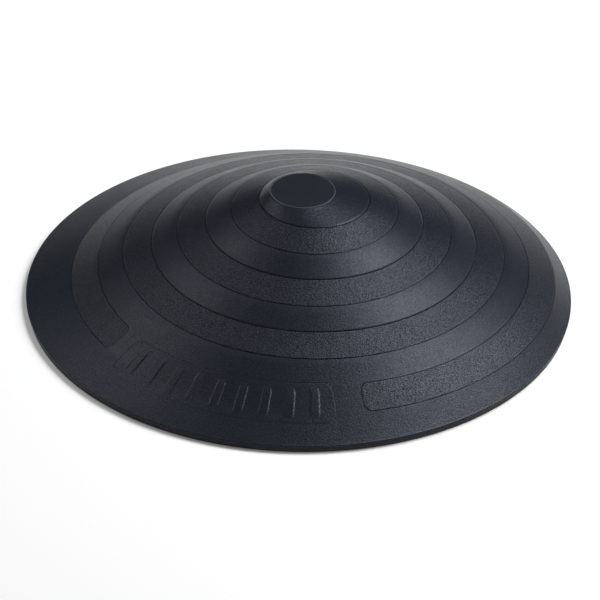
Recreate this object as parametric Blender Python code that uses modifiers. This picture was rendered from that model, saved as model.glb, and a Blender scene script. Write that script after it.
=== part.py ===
"""Balance dome trainer: a low dome to stand on, with let-in grip bands, on a flat closed base.

The rim is a circle round the Z axis and stands on z = 0. The grip bands share a second upright
axis, a little to the +X side, so the dome is steeper on one side than on the other. -Y is the
front, where the outermost grip band is interrupted by a plain panel.
"""

import math

import bmesh
import bpy
from mathutils import Matrix

MM = 0.001

# Driving dimensions
RIM_RADIUS = 250 * MM
CROWN_RADIUS = 30 * MM
CROWN_HEIGHT = 116 * MM
CROWN_AXIS_X = 2 * MM
BAND_AXIS_X = 13 * MM
BAND_INNER_RADIUS = 50 * MM
BAND_WIDTH = 26 * MM
OUTER_BAND_WIDTH = 24.5 * MM
BAND_PITCH = 49 * MM
BAND_COUNT = 4
TOP_BAND_HEIGHT = 107.5 * MM
PITCH_DROP = 23.7 * MM
BAND_DROP = 11.4 * MM
OUTER_BAND_DROP = 14.2 * MM
SHOULDER = 5 * MM
GAP = 0.3 * MM
INLAY_THICKNESS = 2 * MM
SEGMENTS = 60
HOLE_SIDES = 16
SMALL_HOLE_SIDES = 12
PAD_SIDES = 24
SOCKET_SIDES = 6
CRISP_EDGE_DEG = 30
WELD_DISTANCE = 0.0001

# How far below z = 0 the cutters for the let-in pieces and the base reach
OUTLINE_DEPTH = 10 * MM
CUTTER_OVERLAP = 1 * MM
CORNER_STEPS = 5
SIDE_STEP_DEG = 5

# Rim edge of the shell, and the seam under it
RIM_EDGE_HEIGHT = 7.2 * MM
RIM_EDGE_ROUND = 0.6 * MM
SHELL_BOTTOM = 4.6 * MM
RIM_FLARE = 0.05
RIM_STEPS = 4

# The outermost band leaves this stretch of the front open, in degrees round the band axis
GAP_START = -145.4
GAP_END = -77.6
BAND_CORNER = 7 * MM

# Plain panel in that stretch
PANEL_AXIS_X = 8 * MM
PANEL_INNER_RADIUS = 195 * MM
PANEL_OUTER_RADIUS = 230 * MM
PANEL_START = -140.0
PANEL_END = -83.0
PANEL_CORNER = 11 * MM

# Inside of the shell, and the core that fills it
SHELL_WALL = 6 * MM
SHELL_INNER_CROWN = 107 * MM
SHELL_INNER_CROWN_RADIUS = 26 * MM
SHELL_INNER_RIM = 243.5 * MM
CORE_CLEARANCE = 0.5 * MM
CORE_BOTTOM = 5.9 * MM
CORE_EDGE_RADIUS = 233 * MM
CORE_EDGE_HEIGHT = 9.5 * MM

# Crown disc
CROWN_THICKNESS = 3 * MM
CROWN_EDGE = 0.5 * MM
SPIGOT_RADIUS = 6 * MM
SPIGOT_LENGTH = 4 * MM

# Base: ring round the edge, plate, foot pads and screws
RING_INNER = 237 * MM
RING_OUTER = 248.8 * MM
RING_HEIGHT = 4 * MM
RING_CHAMFER = 0.6 * MM
TONGUE_REACH = 5 * MM
TONGUE_LOW = 1.9 * MM
TONGUE_HIGH = 2.9 * MM
PLATE_BOTTOM = 1.5 * MM
PLATE_TOP = 5.5 * MM
PAD_RADIUS = 18 * MM
PAD_THICKNESS = 3 * MM
PAD_CIRCLE = 150 * MM
PAD_COUNT = 6
SCREW_COUNT = 6
SCREW_CIRCLE = 212 * MM
SCREW_START_DEG = 30
BOSS_RADIUS = 7 * MM
PILOT_TOP = 16.5 * MM
SHANK_RADIUS = 1.9 * MM
SHANK_TOP = 15.5 * MM
HEAD_RADIUS = 4 * MM
HEAD_BOTTOM = 1.7 * MM
HEAD_TOP = 3.9 * MM
SOCKET_RADIUS = 1.6 * MM
SOCKET_DEPTH = 1.3 * MM
TIP_SHARE = 0.6
HEAD_ROUND_SHARE = 0.2

# Materials: colour, roughness, metallic
SHELL_LOOK = ((0.022, 0.025, 0.036), 0.45, 0.0)
GRIP_LOOK = ((0.024, 0.027, 0.037), 0.72, 0.0)
CROWN_LOOK = ((0.016, 0.019, 0.020), 0.55, 0.0)
BASE_RUBBER_LOOK = ((0.012, 0.013, 0.016), 0.80, 0.0)
PLATE_LOOK = ((0.030, 0.031, 0.034), 0.60, 0.0)
FOAM_LOOK = ((0.180, 0.185, 0.195), 0.95, 0.0)
SCREW_LOOK = ((0.550, 0.560, 0.580), 0.35, 1.0)


def clear_scene():
    for item in list(bpy.data.objects):
        bpy.data.objects.remove(item, do_unlink=True)


def new_collection(name):
    collection = bpy.data.collections.new(name)
    bpy.context.scene.collection.children.link(collection)
    return collection


def new_material(name, look):
    colour, roughness, metallic = look
    material = bpy.data.materials.new(name)
    material.use_nodes = True
    surface = material.node_tree.nodes["Principled BSDF"]
    surface.inputs["Base Color"].default_value = (*colour, 1.0)
    surface.inputs["Roughness"].default_value = roughness
    surface.inputs["Metallic"].default_value = metallic
    return material


def finish_mesh(name, shape):
    """Turn a bmesh into a smooth-shaded mesh with crisp edges."""
    bmesh.ops.recalc_face_normals(shape, faces=shape.faces)
    mesh = bpy.data.meshes.new(name)
    shape.to_mesh(mesh)
    shape.free()
    mesh.shade_smooth()
    mesh.set_sharp_from_angle(angle=math.radians(CRISP_EDGE_DEG))
    return mesh


def new_part(name, mesh, material):
    part = bpy.data.objects.new(name, mesh)
    parts.objects.link(part)
    part.data.materials.append(material)
    return part


def new_cutter(name, mesh):
    cutter = bpy.data.objects.new(name, mesh)
    cutters.objects.link(cutter)
    cutter.hide_render = True
    cutter.display_type = "WIRE"
    return cutter


def combine(target, other, operation):
    modifier = target.modifiers.new(operation.title() + " " + other.name, "BOOLEAN")
    modifier.operation = operation
    modifier.object = other
    modifier.solver = "EXACT"


def loft(name, sections):
    """A closed solid through level circles, each given as (radius, x of its axis, height)."""
    shape = bmesh.new()
    last = len(sections) - 1
    previous = None
    for index, (radius, axis_x, height) in enumerate(sections):
        circle = bmesh.ops.create_circle(
            shape,
            cap_ends=index in (0, last),
            segments=SEGMENTS,
            radius=radius,
            matrix=Matrix.Translation((axis_x, 0, height)),
        )["verts"]
        members = set(circle)
        edges = [edge for edge in shape.edges if set(edge.verts) <= members]
        if previous:
            bmesh.ops.bridge_loops(shape, edges=previous + edges)
        previous = edges
    return finish_mesh(name, shape)


def turned_part(name, profile, material, place=(0, 0, 0), segments=SEGMENTS):
    """A profile of (radius, height) points, turned round its own Z axis by a Screw modifier."""
    shape = bmesh.new()
    corners = [shape.verts.new((radius, 0, height)) for radius, height in profile]
    starts_on_axis = profile[0][0] == 0
    for index, corner in enumerate(corners[:-1] if starts_on_axis else corners):
        shape.edges.new((corner, corners[(index + 1) % len(corners)]))
    mesh = bpy.data.meshes.new(name)
    shape.to_mesh(mesh)
    shape.free()
    part = new_part(name, mesh, material)
    part.location = place
    screw = part.modifiers.new("Turn", "SCREW")
    screw.steps = segments
    screw.render_steps = segments
    screw.use_merge_vertices = True
    screw.merge_threshold = WELD_DISTANCE
    screw.use_smooth_shade = True
    return part


def cylinder(name, radius, low, high, place, sides=HOLE_SIDES):
    """An upright cylinder cutter between two heights."""
    shape = bmesh.new()
    bmesh.ops.create_cone(
        shape,
        cap_ends=True,
        segments=sides,
        radius1=radius,
        radius2=radius,
        depth=high - low,
        matrix=Matrix.Translation((place[0], place[1], (low + high) / 2)),
    )
    return new_cutter(name, finish_mesh(name, shape))


def band_radii(band):
    inner = BAND_INNER_RADIUS + band * BAND_PITCH
    width = OUTER_BAND_WIDTH if band == BAND_COUNT - 1 else BAND_WIDTH
    return inner, inner + width


def band_heights(band):
    """Height of the surface at a band's inner and outer edge, and at the shoulder beyond it."""
    inner, outer = band_radii(band)
    top = TOP_BAND_HEIGHT - band * PITCH_DROP
    drop = OUTER_BAND_DROP if band == BAND_COUNT - 1 else BAND_DROP
    slope = drop / (outer - inner)
    return top, top - drop, top - drop - slope * SHOULDER


def rim_sections():
    """Circles from the last shoulder, down the flank that flares a little, to the shell's edge."""
    start_radius = band_radii(BAND_COUNT - 1)[1] + SHOULDER
    start_height = band_heights(BAND_COUNT - 1)[2]
    end_radius = RIM_RADIUS - RIM_EDGE_ROUND
    sections = []
    for step in range(1, RIM_STEPS + 1):
        share = step / RIM_STEPS
        fall = share + RIM_FLARE * math.sin(math.pi * share)
        radius = start_radius + (end_radius - start_radius) * share
        axis_x = BAND_AXIS_X * (1 - share)
        sections.append((radius, axis_x, start_height - (start_height - RIM_EDGE_HEIGHT) * fall))
    sections.append((RIM_RADIUS, 0, RIM_EDGE_HEIGHT - RIM_EDGE_ROUND))
    return sections


def surface_sections(sink=0.0):
    """The dome's outside without its recesses, lowered by sink."""
    sections = [(CROWN_RADIUS, CROWN_AXIS_X, CROWN_HEIGHT - sink)]
    for band in range(BAND_COUNT):
        radii = (*band_radii(band), band_radii(band)[1] + SHOULDER)
        for radius, height in zip(radii, band_heights(band)):
            sections.append((radius, BAND_AXIS_X, height - sink))
    for radius, axis_x, height in rim_sections():
        sections.append((radius, axis_x, height - sink))
    return sections


def recessed_sections():
    """The dome's outside with the crown pocket and the recesses of the closed grip rings."""
    half = GAP / 2
    depth = INLAY_THICKNESS + GAP
    pocket = CROWN_RADIUS + half
    sections = [
        (pocket, CROWN_AXIS_X, CROWN_HEIGHT - CROWN_THICKNESS - GAP),
        (pocket, CROWN_AXIS_X, CROWN_HEIGHT),
    ]
    for band in range(BAND_COUNT):
        inner, outer = band_radii(band)
        top, low, shoulder = band_heights(band)
        if band < BAND_COUNT - 1:
            sections.append((inner - half, BAND_AXIS_X, top))
            sections.append((inner - half, BAND_AXIS_X, top - depth))
            sections.append((outer + half, BAND_AXIS_X, low - depth))
            sections.append((outer + half, BAND_AXIS_X, low))
        else:
            sections.append((inner, BAND_AXIS_X, top))
            sections.append((outer, BAND_AXIS_X, low))
        sections.append((outer + SHOULDER, BAND_AXIS_X, shoulder))
    sections += rim_sections()
    sections.append((RIM_RADIUS, 0, SHELL_BOTTOM + RIM_EDGE_ROUND))
    sections.append((RIM_RADIUS - RIM_EDGE_ROUND, 0, SHELL_BOTTOM))
    return sections


def hollow_sections(clearance=0.0):
    """The space inside the shell as far as the outermost band, kept clear of the shell by clearance."""
    last = BAND_COUNT - 1
    last_inner, last_outer = band_radii(last)
    last_top, last_low, _ = band_heights(last)
    drop = SHELL_WALL + clearance
    return [
        (SHELL_INNER_CROWN_RADIUS - clearance, CROWN_AXIS_X, SHELL_INNER_CROWN - clearance),
        (BAND_INNER_RADIUS - clearance, BAND_AXIS_X, TOP_BAND_HEIGHT - drop),
        (last_inner - clearance, BAND_AXIS_X, last_top - drop),
        (last_outer - clearance, BAND_AXIS_X, last_low - drop),
    ]


def sector_prism(name, axis_x, radii, degrees, corner, grow, low, high):
    """An upright prism over a stretch of a ring, with rounded corners, grown all round by grow."""
    inner, outer = radii[0] - grow, radii[1] + grow
    middle = (inner + outer) / 2
    half_width = (outer - inner) / 2
    half_length = math.radians(degrees[1] - degrees[0]) / 2 * middle + grow
    centre = math.radians(degrees[0] + degrees[1]) / 2
    side_steps = round(2 * half_length / middle / math.radians(SIDE_STEP_DEG))
    outline = []
    for quarter, (along, across) in enumerate([(1, 1), (-1, 1), (-1, -1), (1, -1)]):
        for step in range(CORNER_STEPS + 1):
            angle = math.pi / 2 * (quarter + step / CORNER_STEPS)
            outline.append(
                (
                    along * (half_length - corner) + corner * math.cos(angle),
                    across * (half_width - corner) + corner * math.sin(angle),
                )
            )
        if quarter in (0, 2):
            start, end = along * (half_length - corner), -along * (half_length - corner)
            for step in range(1, side_steps):
                outline.append((start + (end - start) * step / side_steps, across * half_width))
    shape = bmesh.new()
    floor = []
    for along, across in outline:
        angle = centre + along / middle
        radius = middle + across
        floor.append(shape.verts.new((axis_x + radius * math.cos(angle), radius * math.sin(angle), low)))
    face = shape.faces.new(floor)
    lifted = bmesh.ops.extrude_face_region(shape, geom=[face])["geom"]
    for item in lifted:
        if isinstance(item, bmesh.types.BMVert):
            item.co.z = high
    return new_cutter(name, finish_mesh(name, shape))


def boss_places():
    for index in range(SCREW_COUNT):
        angle = math.radians(SCREW_START_DEG + 360 * index / SCREW_COUNT)
        yield index, (SCREW_CIRCLE * math.cos(angle), SCREW_CIRCLE * math.sin(angle))


def pad_places():
    yield 0, (0.0, 0.0)
    for index in range(PAD_COUNT):
        angle = math.radians(360 * index / PAD_COUNT)
        yield index + 1, (PAD_CIRCLE * math.cos(angle), PAD_CIRCLE * math.sin(angle))


def let_in_piece(name, material, axis_x, radii, degrees, corner):
    """Make a thin piece whose top follows the dome, and return the cutter of the recess it lies in."""
    low, lower, lowest = -OUTLINE_DEPTH, -2 * OUTLINE_DEPTH, -3 * OUTLINE_DEPTH
    high = CROWN_HEIGHT
    half = GAP / 2
    inlay = new_part(name, loft(name, surface_sections() + [(RIM_RADIUS, 0, low)]), material)
    outline = sector_prism(name + "_outline", axis_x, radii, degrees, corner, -half, lower, high)
    combine(inlay, outline, "INTERSECT")
    under = surface_sections(INLAY_THICKNESS) + [(RIM_RADIUS, 0, lowest)]
    combine(inlay, new_cutter(name + "_under", loft(name + "_under", under)), "DIFFERENCE")
    recess = sector_prism(name + "_recess", axis_x, radii, degrees, corner, half, low, high)
    below = surface_sections(INLAY_THICKNESS + GAP) + [(RIM_RADIUS, 0, lower)]
    combine(recess, new_cutter(name + "_floor", loft(name + "_floor", below)), "DIFFERENCE")
    return recess


def build_shell(material, recesses):
    shell = new_part("dome_shell", loft("dome_shell", recessed_sections()), material)
    sections = hollow_sections()
    sections.append((SHELL_INNER_RIM - SHELL_WALL / 2, BAND_AXIS_X / 3, SHELL_BOTTOM + SHELL_WALL / 2))
    sections.append((SHELL_INNER_RIM, 0, SHELL_BOTTOM))
    sections.append((SHELL_INNER_RIM, 0, -SHELL_WALL))
    hollow = new_cutter("hollow", loft("hollow", sections))
    for index, place in boss_places():
        boss = cylinder("boss_" + str(index + 1), BOSS_RADIUS, PLATE_TOP + GAP, CROWN_HEIGHT, place)
        combine(hollow, boss, "DIFFERENCE")
    combine(shell, hollow, "DIFFERENCE")
    for index, place in boss_places():
        pilot = cylinder("pilot_" + str(index + 1), SHANK_RADIUS + GAP, 0, PILOT_TOP, place, SMALL_HOLE_SIDES)
        combine(shell, pilot, "DIFFERENCE")
    spigot = cylinder(
        "spigot_hole", SPIGOT_RADIUS + GAP, SHELL_INNER_CROWN - SHELL_WALL, CROWN_HEIGHT, (CROWN_AXIS_X, 0)
    )
    combine(shell, spigot, "DIFFERENCE")
    for recess in recesses:
        combine(shell, recess, "DIFFERENCE")


def build_crown(material):
    top = 0
    under = -CROWN_THICKNESS
    radius = CROWN_RADIUS - GAP / 2
    profile = [
        (0, top),
        (radius - CROWN_EDGE, top),
        (radius, top - CROWN_EDGE),
        (radius, under),
        (SPIGOT_RADIUS, under),
        (SPIGOT_RADIUS, under - SPIGOT_LENGTH),
        (0, under - SPIGOT_LENGTH),
    ]
    return turned_part("crown_disc", profile, material, (CROWN_AXIS_X, 0, CROWN_HEIGHT))


def build_grip_ring(name, band, material):
    inner, outer = band_radii(band)
    top, low, _ = band_heights(band)
    half = GAP / 2
    profile = [
        (inner + half, top),
        (outer - half, low),
        (outer - half, low - INLAY_THICKNESS),
        (inner + half, top - INLAY_THICKNESS),
    ]
    return turned_part(name, profile, material, (BAND_AXIS_X, 0, 0))


def build_core(material):
    sections = hollow_sections(CORE_CLEARANCE)
    sections.append((CORE_EDGE_RADIUS, BAND_AXIS_X / 2, CORE_EDGE_HEIGHT))
    sections.append((CORE_EDGE_RADIUS, BAND_AXIS_X / 2, CORE_BOTTOM))
    core = new_part("foam_core", loft("foam_core", sections), material)
    for index, place in boss_places():
        hole = cylinder("core_hole_" + str(index + 1), BOSS_RADIUS + 2 * GAP, 0, CROWN_HEIGHT, place)
        combine(core, hole, "DIFFERENCE")
    return core


def build_base_ring(material):
    slot_low = TONGUE_LOW - GAP
    slot_high = TONGUE_HIGH + GAP
    slot_end = RING_INNER + TONGUE_REACH + GAP
    profile = [
        (RING_INNER, RING_HEIGHT),
        (RING_OUTER - RING_CHAMFER, RING_HEIGHT),
        (RING_OUTER, RING_HEIGHT - RING_CHAMFER),
        (RING_OUTER, RING_CHAMFER),
        (RING_OUTER - RING_CHAMFER, 0),
        (RING_INNER, 0),
        (RING_INNER, slot_low),
        (slot_end, slot_low),
        (slot_end, slot_high),
        (RING_INNER, slot_high),
    ]
    return turned_part("base_ring", profile, material)


def build_base_plate(material):
    edge = RING_INNER - GAP
    profile = [
        (0, PLATE_TOP),
        (edge, PLATE_TOP),
        (edge, TONGUE_HIGH),
        (edge + TONGUE_REACH, TONGUE_HIGH),
        (edge + TONGUE_REACH, TONGUE_LOW),
        (edge, TONGUE_LOW),
        (edge, PLATE_BOTTOM),
        (0, PLATE_BOTTOM),
    ]
    plate = turned_part("base_plate", profile, material)
    for index, place in pad_places():
        seat_top = PAD_THICKNESS + GAP
        seat = cylinder(
            "pad_seat_" + str(index + 1), PAD_RADIUS + GAP, -CUTTER_OVERLAP, seat_top, place, PAD_SIDES
        )
        combine(plate, seat, "DIFFERENCE")
    for index, place in boss_places():
        sink = cylinder(
            "head_sink_" + str(index + 1), HEAD_RADIUS + 2 * GAP, -CUTTER_OVERLAP, HEAD_TOP + GAP, place
        )
        combine(plate, sink, "DIFFERENCE")
        hole = cylinder(
            "shank_hole_" + str(index + 1),
            SHANK_RADIUS + GAP,
            0,
            PLATE_TOP + CUTTER_OVERLAP,
            place,
            SMALL_HOLE_SIDES,
        )
        combine(plate, hole, "DIFFERENCE")
    return plate


def build_foot_pads(material):
    edge = 2 * GAP
    profile = [
        (0, PAD_THICKNESS),
        (PAD_RADIUS, PAD_THICKNESS),
        (PAD_RADIUS, edge),
        (PAD_RADIUS - edge, 0),
        (0, 0),
    ]
    for index, (x, y) in pad_places():
        turned_part("foot_pad_" + str(index + 1), profile, material, (x, y, 0), PAD_SIDES)


def build_screws(material):
    tip = SHANK_RADIUS * TIP_SHARE
    round_over = HEAD_RADIUS * HEAD_ROUND_SHARE
    profile = [
        (0, SHANK_TOP),
        (tip, SHANK_TOP),
        (SHANK_RADIUS, SHANK_TOP - tip),
        (SHANK_RADIUS, HEAD_TOP),
        (HEAD_RADIUS, HEAD_TOP),
        (HEAD_RADIUS, HEAD_BOTTOM + round_over),
        (HEAD_RADIUS - round_over, HEAD_BOTTOM),
        (0, HEAD_BOTTOM),
    ]
    for index, (x, y) in boss_places():
        name = "base_screw_" + str(index + 1)
        screw = turned_part(name, profile, material, (x, y, 0), SMALL_HOLE_SIDES)
        socket_top = HEAD_BOTTOM + SOCKET_DEPTH
        socket = cylinder("socket_" + str(index + 1), SOCKET_RADIUS, 0, socket_top, (x, y), SOCKET_SIDES)
        combine(screw, socket, "DIFFERENCE")


clear_scene()
parts = new_collection("balance_dome_trainer")
cutters = new_collection("cutters")

shell_material = new_material("shell", SHELL_LOOK)
grip_material = new_material("grip", GRIP_LOOK)
crown_material = new_material("crown", CROWN_LOOK)
base_rubber_material = new_material("base_rubber", BASE_RUBBER_LOOK)
plate_material = new_material("plate", PLATE_LOOK)
foam_material = new_material("foam", FOAM_LOOK)
screw_material = new_material("screw_steel", SCREW_LOOK)

outer_band_radii = band_radii(BAND_COUNT - 1)
open_band_recess = let_in_piece(
    "grip_band_open", grip_material, BAND_AXIS_X, outer_band_radii, (GAP_END, GAP_START + 360), BAND_CORNER
)
panel_recess = let_in_piece(
    "front_panel",
    shell_material,
    PANEL_AXIS_X,
    (PANEL_INNER_RADIUS, PANEL_OUTER_RADIUS),
    (PANEL_START, PANEL_END),
    PANEL_CORNER,
)
build_shell(shell_material, (open_band_recess, panel_recess))
build_crown(crown_material)
for ring_index, ring_name in enumerate(("grip_ring_top", "grip_ring_middle", "grip_ring_lower")):
    build_grip_ring(ring_name, ring_index, grip_material)
build_core(foam_material)
build_base_ring(base_rubber_material)
build_base_plate(plate_material)
build_foot_pads(base_rubber_material)
build_screws(screw_material)
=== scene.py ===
"""Looks of the balance dome trainer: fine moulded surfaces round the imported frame."""

import math

import bmesh
import bpy
import numpy as np
from mathutils import Matrix, Vector


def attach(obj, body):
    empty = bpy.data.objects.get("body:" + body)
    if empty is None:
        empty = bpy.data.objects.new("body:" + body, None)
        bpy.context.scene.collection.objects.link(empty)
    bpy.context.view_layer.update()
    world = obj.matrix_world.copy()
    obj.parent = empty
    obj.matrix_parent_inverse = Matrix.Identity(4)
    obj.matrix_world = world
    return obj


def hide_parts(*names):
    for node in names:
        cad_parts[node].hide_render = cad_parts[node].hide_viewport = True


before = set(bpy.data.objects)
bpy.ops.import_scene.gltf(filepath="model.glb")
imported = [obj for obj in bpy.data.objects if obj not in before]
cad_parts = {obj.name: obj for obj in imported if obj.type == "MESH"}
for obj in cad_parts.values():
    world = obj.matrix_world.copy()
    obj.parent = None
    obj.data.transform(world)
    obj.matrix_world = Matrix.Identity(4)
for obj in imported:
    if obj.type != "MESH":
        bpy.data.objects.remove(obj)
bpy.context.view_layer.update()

MM = 0.001
rng = np.random.default_rng(20)

# The dome's shape, as the frame has it
RIM_RADIUS = 250 * MM
CROWN_RADIUS = 30 * MM
CROWN_HEIGHT = 116 * MM
CROWN_AXIS_X = 2 * MM
BAND_AXIS_X = 13 * MM
BAND_INNER_RADIUS = 50 * MM
BAND_WIDTH = 26 * MM
OUTER_BAND_WIDTH = 24.5 * MM
BAND_PITCH = 49 * MM
TOP_BAND_HEIGHT = 107.5 * MM
PITCH_DROP = 23.7 * MM
BAND_DROP = 11.4 * MM
OUTER_BAND_DROP = 14.2 * MM
SHOULDER = 5 * MM
CLOSED_BANDS = 3
OUTER_BAND = 3
RIM_EDGE_HEIGHT = 7.2 * MM
RIM_EDGE_ROUND = 0.6 * MM
SHELL_BOTTOM = 4.6 * MM
GAP = 0.3 * MM
INLAY_THICKNESS = 2 * MM
CROWN_THICKNESS = 3 * MM
SPIGOT_RADIUS, SPIGOT_LENGTH = 6 * MM, 4 * MM
SPIGOT_HOLE, SPIGOT_HOLE_DEPTH = 7 * MM, 8 * MM
# Circles of the shell's inside in millimetres, from the rim to the spigot hole: radius, axis x, height
SHELL_INSIDE = (
    (243.5, 0, 4.6),
    (240.5, 4.3, 7.6),
    (221.5, 13, 16.2),
    (197, 13, 30.4),
    (50, 13, 101.5),
    (26, 2, 107),
    (7, 2, 107),
)
RING_RADIUS, RING_HEIGHT, RING_BORE = 248.8 * MM, 4 * MM, 237 * MM
RING_GROOVE_RADIUS, RING_GROOVE_LOW, RING_GROOVE_HIGH = 242.3 * MM, 1.6 * MM, 3.2 * MM
RING_ROUND = 0.7 * MM
GAP_START, GAP_END = -145.4, -77.6
BAND_CORNER = 7 * MM
PANEL_AXIS_X = 8 * MM
PANEL_INNER_RADIUS, PANEL_OUTER_RADIUS = 195 * MM, 230 * MM
PANEL_START, PANEL_END = -140.0, -83.0
PANEL_CORNER = 11 * MM
RECESS_TOP = 60 * MM

# Fine shapes that only the looks have
CREASE_ROUND = 4.5 * MM
PROFILE_STEP = 0.1 * MM
SHELL_STEP, FLANK_STEPS = 1.5 * MM, 16
# How far past the outer band's edge the shell keeps its close circles
CLOSE_CIRCLES_PAST_BAND = 7 * MM
SHELL_EDGE = 0.25 * MM
GRIP_EDGE, GRIP_EDGE_DEPTH = 0.3 * MM, 0.25 * MM
GRIP_ROWS = 26
GRAIN_HEIGHT = 0.07 * MM
PANEL_EDGE, PANEL_EDGE_DEPTH = 1.2 * MM, 0.12 * MM
PANEL_GAP = 0.12 * MM
BAR_COUNT = 9
BAR_HALF_WIDTH, BAR_HALF_LENGTH, BAR_CORNER = 4.5 * MM, 10.5 * MM, 1.8 * MM
BAR_HEIGHT, BAR_EDGE = 0.6 * MM, 1.2 * MM
BAR_MARGIN = 0.3
NOSE_TURNS = np.radians((0, 30, 60, 90))
# Circles that keep the crown's face flat when it is shaded smooth, in millimetres
CROWN_FACE_CIRCLES = (0.3, 1, 2, 4, 8, 14, 20, 25, 27.6, 28.3)
BEAD_HEIGHT, BEAD_WIDTH = 0.35 * MM, 1.0 * MM
PIN_MARK = (-3.7 * MM, 6.8 * MM)
PIN_MARK_RADIUS = 0.8 * MM

# The part of the floor that glows, in metres; it fades out at GLOW_FADE times its size
GLOW_HALF_WIDTH, GLOW_HALF_DEPTH = 0.5, 0.70
GLOW_FADE = 2.4
GLOW_STRENGTH = 0.14
FLOOR_HALF, FLOOR_DROP = 8.0, 0.2 * MM

LIGHT_DISTANCE, LIGHT_SIZE = 3.0, 1.2
LIGHT_TARGET = Vector((0, 0, 0.05))
ELEVATION, ROLL, DISTANCE, LENS = 33.07, 1.10, 4.61, 301.1
CAMERA_SHIFT = Vector((1.38 * MM, -2.2 * MM, 0))

DIELECTRIC_LEVEL = 0.19
BLUE_SHEEN = (0.80, 0.86, 1.0, 1)
SHELL_DARK, SHELL_PALE = (0.0107, 0.0129, 0.0194), (0.0121, 0.0146, 0.0217)
GRIP_DARK, GRIP_PALE = (0.0066, 0.0082, 0.0134), (0.0097, 0.0118, 0.0184)
CROWN_COLOUR = (0.0147, 0.0178, 0.0232)
# Colour of the painted highlight along the crown's bead
BEAD_HIGHLIGHT_COLOUR = (0.075, 0.083, 0.095, 1)
STEEL_DARK, STEEL_PALE = (0.48, 0.49, 0.50), (0.62, 0.62, 0.60)
# Floor colours inside the painted pool of light round the object, and past it
FLOOR_PAINTED_POOL, FLOOR_PAST_POOL = (0.82, 0.82, 0.82), (0.60, 0.60, 0.60)


def band_edges(band):
    inner = BAND_INNER_RADIUS + band * BAND_PITCH
    return inner, inner + (OUTER_BAND_WIDTH if band == OUTER_BAND else BAND_WIDTH)


def band_heights(band):
    inner, outer = band_edges(band)
    top = TOP_BAND_HEIGHT - band * PITCH_DROP
    drop = OUTER_BAND_DROP if band == OUTER_BAND else BAND_DROP
    return top, top - drop, top - drop * (1 + SHOULDER / (outer - inner))


FLANK_START = band_edges(OUTER_BAND)[1]
FLANK_END = RIM_RADIUS - RIM_EDGE_ROUND


def profile_table():
    """Height over radius for the whole top, with the creases between the bands rounded."""
    radii, heights = [CROWN_RADIUS], [CROWN_HEIGHT]
    for band in range(CLOSED_BANDS):
        radii += [*band_edges(band), band_edges(band)[1] + SHOULDER]
        heights += band_heights(band)
    radii += [*band_edges(OUTER_BAND), FLANK_END]
    heights += [*band_heights(OUTER_BAND)[:2], RIM_EDGE_HEIGHT]
    fine = np.arange(CROWN_RADIUS, FLANK_END + PROFILE_STEP / 2, PROFILE_STEP)
    sharp = np.interp(fine, radii, heights)
    reach = round(CREASE_ROUND / PROFILE_STEP)
    slope_in, slope_out = sharp[1] - sharp[0], sharp[-1] - sharp[-2]
    before = sharp[0] - slope_in * np.arange(reach, 0, -1)
    after = sharp[-1] + slope_out * np.arange(1, reach + 1)
    padded = np.concatenate([before, sharp, after])
    kernel = np.hanning(2 * reach + 3)[1:-1]
    return fine, np.convolve(padded, kernel / kernel.sum(), "valid")


PROFILE_R, PROFILE_Z = profile_table()


def axis_of(radius):
    """Where the centre of the level circle of this radius lies along X."""
    first, last = band_edges(0)[0], FLANK_START
    return np.interp(
        radius, [CROWN_RADIUS, first, last, FLANK_END], [CROWN_AXIS_X, BAND_AXIS_X, BAND_AXIS_X, 0]
    )


def level_radius(x, y):
    """The radius of the level circle through a point seen from above."""
    radius = np.hypot(x - BAND_AXIS_X, y)
    for _ in range(12):
        radius = np.clip(np.hypot(x - axis_of(radius), y), CROWN_RADIUS, FLANK_END)
    return radius


def dome_height(x, y):
    return np.interp(level_radius(x, y), PROFILE_R, PROFILE_Z)


# ---------------------------------------------------------------- meshes


def mesh_object(name, points, quads, extra_faces=()):
    mesh = bpy.data.meshes.new(name)
    faces = [tuple(face) for face in quads.tolist()] + [tuple(face) for face in extra_faces]
    mesh.from_pydata(points.tolist(), [], faces)
    mesh.update()
    mesh.validate()
    item = bpy.data.objects.new(name, mesh)
    bpy.context.scene.collection.objects.link(item)
    return item


def shade(item, degrees=40):
    item.data.shade_smooth()
    item.data.set_sharp_from_angle(angle=math.radians(degrees))


def grid_faces(rows, columns, wrap_rows, wrap_columns, flip=False):
    i = np.arange(rows if wrap_rows else rows - 1)
    j = np.arange(columns if wrap_columns else columns - 1)
    i, j = np.meshgrid(i, j, indexing="ij")
    a = i * columns + j
    b = i * columns + (j + 1) % columns
    c = ((i + 1) % rows) * columns + (j + 1) % columns
    d = ((i + 1) % rows) * columns + j
    quads = np.stack([a, b, c, d], -1).reshape(-1, 4)
    return quads[:, ::-1] if flip else quads


def lathe(name, stations, columns, caps=True):
    """A closed solid through level circles (radius, axis x, height), listed down the outside."""
    angle = np.linspace(0, 2 * math.pi, columns, endpoint=False)
    rings = np.array(stations)
    x = rings[:, 1, None] + rings[:, 0, None] * np.cos(angle)
    y = rings[:, 0, None] * np.sin(angle)
    z = np.repeat(rings[:, 2, None], columns, 1)
    points = np.stack([x, y, z], -1).reshape(-1, 3)
    quads = grid_faces(len(rings), columns, not caps, True, flip=True)
    extra = []
    if caps:
        last = (len(rings) - 1) * columns
        extra = [range(columns), range(last + columns - 1, last - 1, -1)]
    return mesh_object(name, points, quads, extra)


def level_ring(radius, depth=0.0):
    """The circle of this radius, at a depth under the dome's surface."""
    return (radius, float(axis_of(radius)), float(np.interp(radius, PROFILE_R, PROFILE_Z)) - depth)


def rounded_edge(radius, top, bottom, nose):
    """Circles over a rounded upright edge, which stands out from this radius by its rounding."""
    over = [(radius + nose * math.sin(turn), 0, top - nose * (1 - math.cos(turn))) for turn in NOSE_TURNS]
    under = [(radius + nose * math.cos(turn), 0, bottom + nose * (1 - math.sin(turn))) for turn in NOSE_TURNS]
    return over + under


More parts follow.
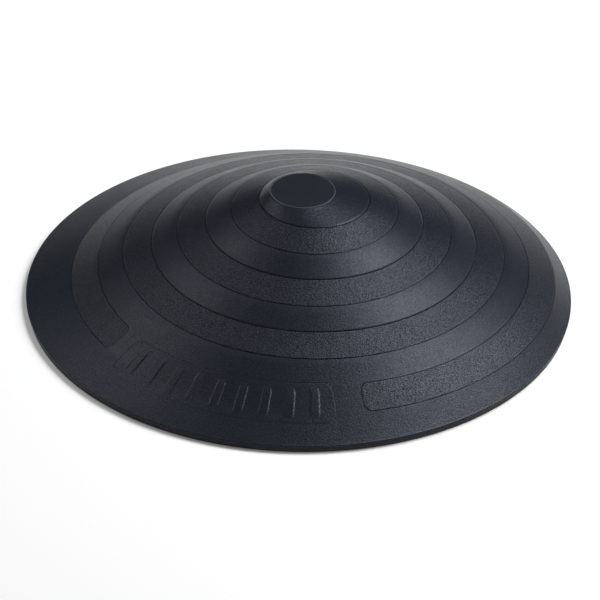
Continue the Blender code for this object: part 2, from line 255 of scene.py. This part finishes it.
def shell_stations():
    """Circles down the shell: crown pocket, ring recesses, flank, nose and back over the inside."""
    half, edge = GAP / 2, SHELL_EDGE
    depth = INLAY_THICKNESS + GAP
    pocket = CROWN_RADIUS + half
    floor = CROWN_HEIGHT - CROWN_THICKNESS - GAP
    out = [
        (SPIGOT_HOLE, CROWN_AXIS_X, CROWN_HEIGHT - SPIGOT_HOLE_DEPTH),
        (SPIGOT_HOLE, CROWN_AXIS_X, floor),
        (pocket, CROWN_AXIS_X, floor),
        (pocket, CROWN_AXIS_X, CROWN_HEIGHT - edge * 1.5),
        (pocket + edge, CROWN_AXIS_X, CROWN_HEIGHT - edge * 0.5),
    ]
    previous = pocket + edge
    stops = [band_edges(band) for band in range(CLOSED_BANDS)]
    for inner, outer in stops + [(FLANK_START + CLOSE_CIRCLES_PAST_BAND, None)]:
        edge_in = inner - half - edge
        count = max(2, round((edge_in - previous) / SHELL_STEP))
        out += [level_ring(radius) for radius in np.linspace(previous, edge_in, count + 1)[1:]]
        previous = edge_in
        if outer is None:
            break
        wall_in, wall_out = inner - half, outer + half
        out += [level_ring(wall_in, edge), level_ring(wall_in, depth)]
        out += [level_ring(wall_out, depth), level_ring(wall_out, edge)]
        previous = wall_out + edge
        out.append(level_ring(previous))
    out += [level_ring(radius) for radius in np.linspace(previous, FLANK_END, FLANK_STEPS)[1:]]
    out += rounded_edge(FLANK_END, RIM_EDGE_HEIGHT, SHELL_BOTTOM, RIM_EDGE_ROUND)[1:]
    out += [tuple(value * MM for value in circle) for circle in SHELL_INSIDE]
    return out


# The two stretches that don't close to a full ring
OPEN_BAND = {
    "axis_x": BAND_AXIS_X,
    "radii": band_edges(OUTER_BAND),
    "degrees": (GAP_END, GAP_START + 360),
    "corner": BAND_CORNER,
}
PANEL = {
    "axis_x": PANEL_AXIS_X,
    "radii": (PANEL_INNER_RADIUS, PANEL_OUTER_RADIUS),
    "degrees": (PANEL_START, PANEL_END),
    "corner": PANEL_CORNER,
}


def sector_grid(axis_x, radii, degrees, corner, rows, columns, grow=0.0, edge_rows=7):
    """Plan positions (rows, columns) over a ring stretch with rounded corners."""
    inner, outer = radii[0] - grow, radii[1] + grow
    turn = np.linspace(0, math.pi / 2, edge_rows)
    rim = corner * (1 - np.cos(turn))
    middle = np.linspace(inner + corner, outer - corner, rows + 2)[1:-1]
    across = np.concatenate([inner + rim, middle, outer - rim[::-1]])
    mean = (inner + outer) / 2
    start, end = math.radians(degrees[0]) * mean - grow, math.radians(degrees[1]) * mean + grow
    from_edge = np.minimum(across - inner, outer - across)
    into_corner = corner - np.minimum(from_edge, corner)
    inset = corner - np.sqrt(np.maximum(corner**2 - into_corner**2, 0))
    share = np.linspace(0, 1, columns)
    along = (start + inset)[:, None] + ((end - inset) - (start + inset))[:, None] * share
    angle = along / mean
    return axis_x + across[:, None] * np.cos(angle), across[:, None] * np.sin(angle), across, along


def let_in_block(name, x, y, top, bottom):
    """A closed piece over a grid in plan, between a top and a bottom surface."""
    rows, columns = x.shape
    upper = np.stack([x, y, top], -1).reshape(-1, 3)
    lower = np.stack([x, y, bottom], -1).reshape(-1, 3)
    count = rows * columns
    upper_faces = grid_faces(rows, columns, False, False)
    lower_faces = grid_faces(rows, columns, False, False, flip=True) + count
    quads = [upper_faces, lower_faces]
    first, last = np.arange(columns), np.arange(columns) + (rows - 1) * columns
    left, right = np.arange(rows) * columns, np.arange(rows) * columns + columns - 1
    for line, flip in ((first, True), (last, False), (left, False), (right, True)):
        a, b = line[:-1], line[1:]
        wall = np.stack([a, b, b + count, a + count], -1)
        quads.append(wall if not flip else wall[:, ::-1])
    return mesh_object(name, np.concatenate([upper, lower]), np.concatenate(quads))


def recalculated(item):
    """Turns the faces outwards, and gives the piece back."""
    shape = bmesh.new()
    shape.from_mesh(item.data)
    bmesh.ops.recalc_face_normals(shape, faces=shape.faces)
    shape.to_mesh(item.data)
    shape.free()
    return item


def grain(shape, size):
    """Random heights, at most this size up or down."""
    return rng.uniform(-1, 1, shape) * size


def edge_fall(distance, width, depth):
    """How far a piece's top drops towards its edge."""
    share = np.clip(1 - distance / width, 0, 1)
    return depth * share**2


def sandy(height, distance):
    """A grip's top: the dome's surface with a worn edge and random grain."""
    relief = grain(height.shape, GRAIN_HEIGHT) * np.clip(distance / MM, 0, 1)
    return height - edge_fall(distance, GRIP_EDGE, GRIP_EDGE_DEPTH) + relief


def distance_inside(across, along):
    """How far each point of a sector grid lies from the sector's outline."""
    rows = np.minimum(across - across[0], across[-1] - across)[:, None]
    ends = np.minimum(along - along[:, :1], along[:, -1:] - along)
    return np.minimum(rows, ends)


def grip_ring(name, node, band, columns):
    """A closed ring of grip, let into its recess."""
    inner, outer = band_edges(band)
    inner, outer = inner + GAP / 2, outer - GAP / 2
    edge = GRIP_EDGE
    middle = np.linspace(inner + edge, outer - edge, GRIP_ROWS)
    radii = np.concatenate([[inner, inner + edge * 0.4], middle, [outer - edge * 0.4, outer]])
    angle = np.linspace(0, 2 * math.pi, columns, endpoint=False)
    radius = np.repeat(radii[:, None], columns, 1)
    x = BAND_AXIS_X + radius * np.cos(angle)
    y = radius * np.sin(angle)
    z = np.interp(radius, PROFILE_R, PROFILE_Z)
    distance = np.minimum(radius - inner, outer - radius)
    z = sandy(z, distance)
    bottom = np.interp(radii[[-1, 0]], PROFILE_R, PROFILE_Z) - INLAY_THICKNESS
    low = np.repeat(radii[[-1, 0]][:, None], columns, 1)
    x = np.concatenate([x, BAND_AXIS_X + low * np.cos(angle)])
    y = np.concatenate([y, low * np.sin(angle)])
    z = np.concatenate([z, np.repeat(bottom[:, None], columns, 1)])
    points = np.stack([x, y, z], -1).reshape(-1, 3)
    item = mesh_object(name, points, grid_faces(len(radii) + 2, columns, True, True, flip=True))
    recalculated(item)
    shade(item)
    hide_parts(node)
    return item


def open_band():
    """The outermost grip band, which is open at the front."""
    x, y, across, along = sector_grid(**OPEN_BAND, rows=14, columns=820, grow=-GAP / 2)
    z = dome_height(x, y)
    top = sandy(z, distance_inside(across, along))
    item = recalculated(let_in_block("open_grip_band", x, y, top, z - INLAY_THICKNESS))
    shade(item)
    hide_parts("grip_band_open")
    return item


def front_panel():
    """The panel with plain raised bars that lies in the outermost band's opening."""
    x, y, across, along = sector_grid(**PANEL, rows=60, columns=420, grow=GAP / 2 - PANEL_GAP)
    z = dome_height(x, y)
    fall = edge_fall(distance_inside(across, along), PANEL_EDGE, PANEL_EDGE_DEPTH)
    top = z - fall + bar_relief(across[:, None], along)
    item = recalculated(let_in_block("plain_front_panel", x, y, top, z - INLAY_THICKNESS))
    shade(item)
    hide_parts("front_panel")
    return item


def bar_relief(across, along):
    """A plain row of raised bars with soft edges."""
    middle = (PANEL_INNER_RADIUS + PANEL_OUTER_RADIUS) / 2
    length = math.radians(PANEL_END - PANEL_START) * middle
    pitch = length / (BAR_COUNT + 2 * BAR_MARGIN)
    first = math.radians(PANEL_START) * middle + pitch * BAR_MARGIN
    offset = (along - first) % pitch - pitch / 2
    inside = (along > first) & (along < first + pitch * BAR_COUNT)
    dx = np.maximum(np.abs(offset) - (BAR_HALF_WIDTH - BAR_CORNER), 0)
    dy = np.maximum(np.abs(across - middle) - (BAR_HALF_LENGTH - BAR_CORNER), 0)
    distance = BAR_CORNER - np.hypot(dx, dy)
    rise = np.clip(distance / BAR_EDGE, 0, 1)
    return np.where(inside, BAR_HEIGHT * rise * rise * (3 - 2 * rise), 0)


# ---------------------------------------------------------------- materials


def new_material(name, colour, roughness, specular=0.5):
    material = bpy.data.materials.new(name)
    material.use_nodes = True
    surface = material.node_tree.nodes["Principled BSDF"]
    surface.inputs["Base Color"].default_value = (*colour, 1)
    surface.inputs["Roughness"].default_value = roughness
    surface.inputs["Specular IOR Level"].default_value = specular
    return material


def bluish(surface):
    """The skin's weak, slightly blue gloss."""
    surface.inputs["Specular IOR Level"].default_value = DIELECTRIC_LEVEL
    surface.inputs["Specular Tint"].default_value = BLUE_SHEEN


def node(material, kind, **inputs):
    made = material.node_tree.nodes.new(kind)
    for key, value in inputs.items():
        made.inputs[key.replace("_", " ")].default_value = value
    return made


def link(material, source, target):
    material.node_tree.links.new(source, target)


def position(material):
    return node(material, "ShaderNodeTexCoord").outputs["Object"]


def noise(material, scale, detail=2.0, roughness=0.5):
    made = node(material, "ShaderNodeTexNoise", Scale=scale, Detail=detail, Roughness=roughness)
    link(material, position(material), made.inputs["Vector"])
    return made.outputs["Fac"]


def remap(material, source, low, high, to_low, to_high):
    made = node(material, "ShaderNodeMapRange")
    for key, value in (("From Min", low), ("From Max", high), ("To Min", to_low), ("To Max", to_high)):
        made.inputs[key].default_value = value
    link(material, source, made.inputs["Value"])
    return made.outputs["Result"]


def mixed_colour(material, factor, first, second):
    made = node(material, "ShaderNodeMix")
    made.data_type = "RGBA"
    made.inputs[6].default_value = (*first, 1)
    made.inputs[7].default_value = (*second, 1)
    link(material, factor, made.inputs[0])
    return made.outputs[2]


def bump(material, source, strength, distance, normal=None):
    made = node(material, "ShaderNodeBump", Strength=strength, Distance=distance)
    link(material, source, made.inputs["Height"])
    if normal:
        link(material, normal, made.inputs["Normal"])
    return made.outputs["Normal"]


def surface_of(material):
    return material.node_tree.nodes["Principled BSDF"]


def drive(material, name, source):
    """Connects a texture to one of the surface's inputs."""
    link(material, source, surface_of(material).inputs[name])


def measured(material, operation, source, other=None):
    """A vector operation's result, as a length or a vector."""
    made = node(material, "ShaderNodeVectorMath")
    made.operation = operation
    if other:
        made.inputs[1].default_value = other
    link(material, source, made.inputs[0])
    return made.outputs["Vector" if operation == "MULTIPLY" else "Value"]


def polar_position(material):
    """Turn round the band axis and distance from it, for marks that run round."""
    split = node(material, "ShaderNodeSeparateXYZ")
    link(material, position(material), split.inputs[0])
    away = math_node(material, "SUBTRACT", split.outputs["X"], BAND_AXIS_X)
    turn = math_node(material, "ARCTAN2", split.outputs["Y"], away)
    away_square = math_node(material, "POWER", away, 2.0)
    depth_square = math_node(material, "POWER", split.outputs["Y"], 2.0)
    squares = math_node(material, "ADD", away_square, depth_square)
    joined = node(material, "ShaderNodeCombineXYZ")
    link(material, math_node(material, "MULTIPLY", turn, 0.02), joined.inputs["X"])
    link(material, math_node(material, "SQRT", squares), joined.inputs["Y"])
    link(material, math_node(material, "MULTIPLY", split.outputs["Z"], 0.2), joined.inputs["Z"])
    return joined.outputs[0]


def math_node(material, operation, *values):
    made = node(material, "ShaderNodeMath")
    made.operation = operation
    for socket, value in zip(made.inputs, values):
        if isinstance(value, (int, float)):
            socket.default_value = value
        else:
            link(material, value, socket)
    return made.outputs[0]


def shell_material():
    """Satin moulded skin: fine spark-eroded grain, faint marks that run round, cloudy gloss."""
    made = new_material("moulded_shell", SHELL_DARK, 0.32)
    bluish(surface_of(made))
    drive(made, "Base Color", mixed_colour(made, noise(made, 9.0, 4.0), SHELL_DARK, SHELL_PALE))
    streaks = node(made, "ShaderNodeTexNoise", Scale=260.0, Detail=4.0, Roughness=0.6)
    link(made, polar_position(made), streaks.inputs["Vector"])
    cloudy = remap(made, noise(made, 26.0, 5.0), 0.3, 0.7, 0.295, 0.335)
    streaky = remap(made, streaks.outputs["Fac"], 0.3, 0.7, 0.0, 0.05)
    drive(made, "Roughness", math_node(made, "ADD", cloudy, streaky))
    glint = remap(made, noise(made, 900.0, 2.0, 0.6), 0.38, 0.62, 0.10, 0.30)
    drive(made, "Specular IOR Level", glint)
    soft = bump(made, streaks.outputs["Fac"], 0.12, 0.6 * MM)
    drive(made, "Normal", bump(made, noise(made, 620.0, 3.0, 0.65), 0.6, 0.5 * MM, soft))
    return made


def grip_material():
    """Sandy grip: coarse and fine grain, with specks that glint."""
    made = new_material("sandy_grip", GRIP_DARK, 0.31)
    bluish(surface_of(made))
    speck = remap(made, noise(made, 700.0, 4.0, 0.7), 0.35, 0.7, 0, 1)
    drive(made, "Base Color", mixed_colour(made, speck, GRIP_DARK, GRIP_PALE))
    drive(made, "Roughness", remap(made, noise(made, 420.0, 3.0), 0.3, 0.7, 0.28, 0.34))
    glint = remap(made, noise(made, 1080.0, 2.0, 0.6), 0.42, 0.58, 0.07, 0.44)
    drive(made, "Specular IOR Level", glint)
    coarse = bump(made, noise(made, 800.0, 2.0, 0.6), 0.7, 0.6 * MM)
    drive(made, "Normal", bump(made, noise(made, 1300.0, 2.0, 0.6), 0.5, 0.4 * MM, coarse))
    return made


def matt_material(name, colour, roughness, scale=700.0, strength=0.3):
    """A matt surface with a cloudy colour, uneven gloss and fine grain."""
    made = new_material(name, colour, roughness)
    darker = tuple(0.8 * value for value in colour)
    lighter = tuple(1.2 * value for value in colour)
    drive(made, "Base Color", mixed_colour(made, noise(made, 24.0, 4.0), darker, lighter))
    uneven = remap(made, noise(made, 60.0, 3.0), 0.3, 0.7, roughness - 0.06, roughness + 0.06)
    drive(made, "Roughness", uneven)
    drive(made, "Normal", bump(made, noise(made, scale, 3.0, 0.6), strength, 0.6 * MM))
    return made


def crown_material():
    """The matt crown, with a painted highlight on its bead and the small mark of a moulding pin."""
    made = matt_material("crown_matt", CROWN_COLOUR, 0.42, 1200.0, 0.2)
    surface = surface_of(made)
    bluish(surface)
    from_axis = measured(made, "DISTANCE", position(made), (CROWN_AXIS_X, 0, CROWN_HEIGHT))
    bead = CROWN_RADIUS - GAP / 2 - BEAD_WIDTH
    # Painted highlight: the bead round the crown's edge gets a much lighter colour than the crown
    bead_highlight = node(made, "ShaderNodeMix")
    bead_highlight.data_type = "RGBA"
    bead_highlight.inputs[7].default_value = BEAD_HIGHLIGHT_COLOUR
    link(made, remap(made, from_axis, bead, bead + 0.3 * MM, 0.0, 1.0), bead_highlight.inputs[0])
    link(made, surface.inputs["Base Color"].links[0].from_socket, bead_highlight.inputs[6])
    drive(made, "Base Color", bead_highlight.outputs[2])
    from_mark = measured(made, "DISTANCE", position(made), (*PIN_MARK, CROWN_HEIGHT - BEAD_HEIGHT))
    level = remap(made, from_mark, 0.5 * PIN_MARK_RADIUS, PIN_MARK_RADIUS, 0.0, 1.0)
    grained = surface.inputs["Normal"].links[0].from_socket
    drive(made, "Normal", bump(made, level, 1.0, 0.6 * MM, grained))
    return made


def steel_material():
    made = new_material("plated_steel", STEEL_DARK, 0.35)
    surface_of(made).inputs["Metallic"].default_value = 1.0
    drive(made, "Base Color", mixed_colour(made, noise(made, 300.0, 3.0), STEEL_DARK, STEEL_PALE))
    drive(made, "Roughness", remap(made, noise(made, 500.0, 3.0), 0.3, 0.7, 0.28, 0.45))
    drive(made, "Normal", bump(made, noise(made, 900.0, 2.0), 0.2, 0.2 * MM))
    return made


def floor_material():
    """A pale floor with a painted pool of light round the object: a lighter colour and a faint glow there,
    like a light table.
    """
    made = new_material("pale_floor", FLOOR_PAINTED_POOL, 0.8, 0.2)
    share = (1 / GLOW_HALF_WIDTH, 1 / GLOW_HALF_DEPTH, 0)
    reach = measured(made, "LENGTH", measured(made, "MULTIPLY", position(made), share))
    far = remap(made, reach, 1.0, GLOW_FADE, 0.0, 1.0)
    # Painted pool of light: the floor is coloured lighter near the object and darker far from it
    drive(made, "Base Color", mixed_colour(made, far, FLOOR_PAINTED_POOL, FLOOR_PAST_POOL))
    surface_of(made).inputs["Emission Color"].default_value = (1, 1, 1, 1)
    drive(made, "Emission Strength", remap(made, reach, 1.0, GLOW_FADE, GLOW_STRENGTH, 0.0))
    return made


def dress(item, material):
    item.data.materials.clear()
    item.data.materials.append(material)


# ---------------------------------------------------------------- pieces

shell_look = shell_material()
grip_look = grip_material()
crown_look = crown_material()
rubber_look = matt_material("base_rubber", (0.0055, 0.006, 0.008), 0.62)
plate_look = matt_material("plate_plastic", (0.030, 0.031, 0.034), 0.55, 500.0, 0.4)
foam_look = matt_material("core_foam", (0.18, 0.185, 0.195), 0.9, 400.0, 0.8)
steel_look = steel_material()

shell = lathe("moulded_shell", shell_stations(), 480, caps=False)
recalculated(shell)
for label, stretch, columns in (("band", OPEN_BAND, 400), ("panel", PANEL, 120)):
    x, y, _, _ = sector_grid(**stretch, rows=6, columns=columns, grow=GAP / 2)
    floor = dome_height(x, y) - INLAY_THICKNESS - GAP
    top = np.full(x.shape, RECESS_TOP)
    cutter = recalculated(let_in_block(label + "_recess", x, y, top, floor))
    cut = shell.modifiers.new(label, "BOOLEAN")
    cut.operation = "DIFFERENCE"
    cut.solver = "EXACT"
    cut.object = cutter
    graph = bpy.context.evaluated_depsgraph_get()
    carved = bpy.data.meshes.new_from_object(shell.evaluated_get(graph))
    shell.modifiers.clear()
    shell.data = carved
    bpy.data.objects.remove(cutter)
shade(shell, 35)
dress(shell, shell_look)
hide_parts("dome_shell")
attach(shell, "root")

for name, cad_name, band, columns in (
    ("grip_ring_a", "grip_ring_top", 0, 420),
    ("grip_ring_b", "grip_ring_middle", 1, 680),
    ("grip_ring_c", "grip_ring_lower", 2, 940),
):
    ring = grip_ring(name, cad_name, band, columns)
    dress(ring, grip_look)
    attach(ring, "root")

band = open_band()
dress(band, grip_look)
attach(band, "root")

panel = front_panel()
dress(panel, shell_look)
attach(panel, "root")


def crown_stations():
    """The crown plug's level circles: flat face, fine bead round its edge and spigot below."""
    face = CROWN_HEIGHT - BEAD_HEIGHT
    crown_radius = CROWN_RADIUS - GAP / 2
    stations = [(radius * MM, CROWN_AXIS_X, face) for radius in CROWN_FACE_CIRCLES]
    for degrees in range(0, 181, 15):
        turn = math.radians(degrees)
        radius = crown_radius - BEAD_WIDTH / 2 - BEAD_WIDTH / 2 * math.cos(turn)
        stations.append((radius, CROWN_AXIS_X, face + BEAD_HEIGHT * math.sin(turn)))
    low = CROWN_HEIGHT - CROWN_THICKNESS
    stations.append((crown_radius, CROWN_AXIS_X, low))
    stations += [(SPIGOT_RADIUS, CROWN_AXIS_X, height) for height in (low, low - SPIGOT_LENGTH)]
    return stations


crown = lathe("crown_plug", crown_stations(), 180)
recalculated(crown)
shade(crown, 50)
dress(crown, crown_look)
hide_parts("crown_disc")
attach(crown, "root")

lip = [(RING_BORE, 0, RING_HEIGHT)]
lip += rounded_edge(RING_RADIUS - RING_ROUND, RING_HEIGHT, 0, RING_ROUND)
lip += [
    (RING_BORE, 0, 0),
    (RING_BORE, 0, RING_GROOVE_LOW),
    (RING_GROOVE_RADIUS, 0, RING_GROOVE_LOW),
    (RING_GROOVE_RADIUS, 0, RING_GROOVE_HIGH),
    (RING_BORE, 0, RING_GROOVE_HIGH),
]
edge_ring = lathe("edge_ring", lip, 480, caps=False)
recalculated(edge_ring)
shade(edge_ring, 35)
dress(edge_ring, rubber_look)
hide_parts("base_ring")
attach(edge_ring, "root")

for name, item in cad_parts.items():
    if name.startswith("foot_pad"):
        dress(item, rubber_look)
    elif name.startswith("base_screw"):
        dress(item, steel_look)
    elif name == "base_plate":
        dress(item, plate_look)
    elif name == "foam_core":
        dress(item, foam_look)

# ---------------------------------------------------------------- stage

corners = ((-1, -1), (1, -1), (1, 1), (-1, 1))
floor_mesh = mesh_object(
    "floor",
    np.array([(x * FLOOR_HALF, y * FLOOR_HALF, -FLOOR_DROP) for x, y in corners]),
    np.array([(0, 1, 2, 3)]),
)
dress(floor_mesh, floor_material())


def softbox(name, azimuth, elevation, power):
    """A square light aimed at the object. Azimuth runs from +X towards +Y."""
    data = bpy.data.lights.new(name, "AREA")
    data.shape = "SQUARE"
    data.size = LIGHT_SIZE
    data.energy = power
    item = bpy.data.objects.new(name, data)
    item.visible_camera = False
    bpy.context.scene.collection.objects.link(item)
    turn, rise = math.radians(azimuth), math.radians(elevation)
    level = math.cos(rise)
    direction = Vector((math.cos(turn) * level, math.sin(turn) * level, math.sin(rise)))
    item.location = LIGHT_TARGET + direction * LIGHT_DISTANCE
    item.rotation_mode = "QUATERNION"
    item.rotation_quaternion = (-direction).to_track_quat("-Z", "Y")
    return item


# Name, azimuth and elevation in degrees, and power in watts
for label, azimuth, height_angle, power in (
    ("key", 32, 61, 32.5),
    ("key_side", 14, 60, 32.8),
    ("flank_front", -10, 58, 15.1),
    ("flank_side", 10, 40, 35.4),
    ("edge_side", 30, 20, 5.0),
    ("fill", 144, 50, 11.5),
    ("fill_side", 160, 36, 12.6),
    ("overhead", 90, 86, 1.7),
):
    softbox(label, azimuth, height_angle, power)

world = bpy.data.worlds.new("studio")
world.use_nodes = True
bpy.context.scene.world = world
world.node_tree.nodes["Background"].inputs["Strength"].default_value = 0.0

elevation = math.radians(ELEVATION)
back = Vector((0, -math.cos(elevation), math.sin(elevation)))
camera_data = bpy.data.cameras.new("camera")
camera_data.lens = LENS
camera_data.sensor_width = 36
camera_data.clip_end = 100
camera = bpy.data.objects.new("camera", camera_data)
bpy.context.scene.collection.objects.link(camera)
facing = (-back).to_track_quat("-Z", "Y").to_matrix().to_4x4()
turned = facing @ Matrix.Rotation(math.radians(ROLL), 4, "Z")
camera.matrix_world = Matrix.Translation(back * DISTANCE + turned @ CAMERA_SHIFT) @ turned
bpy.context.scene.camera = camera
bpy.context.scene.view_settings.view_transform = "Standard"
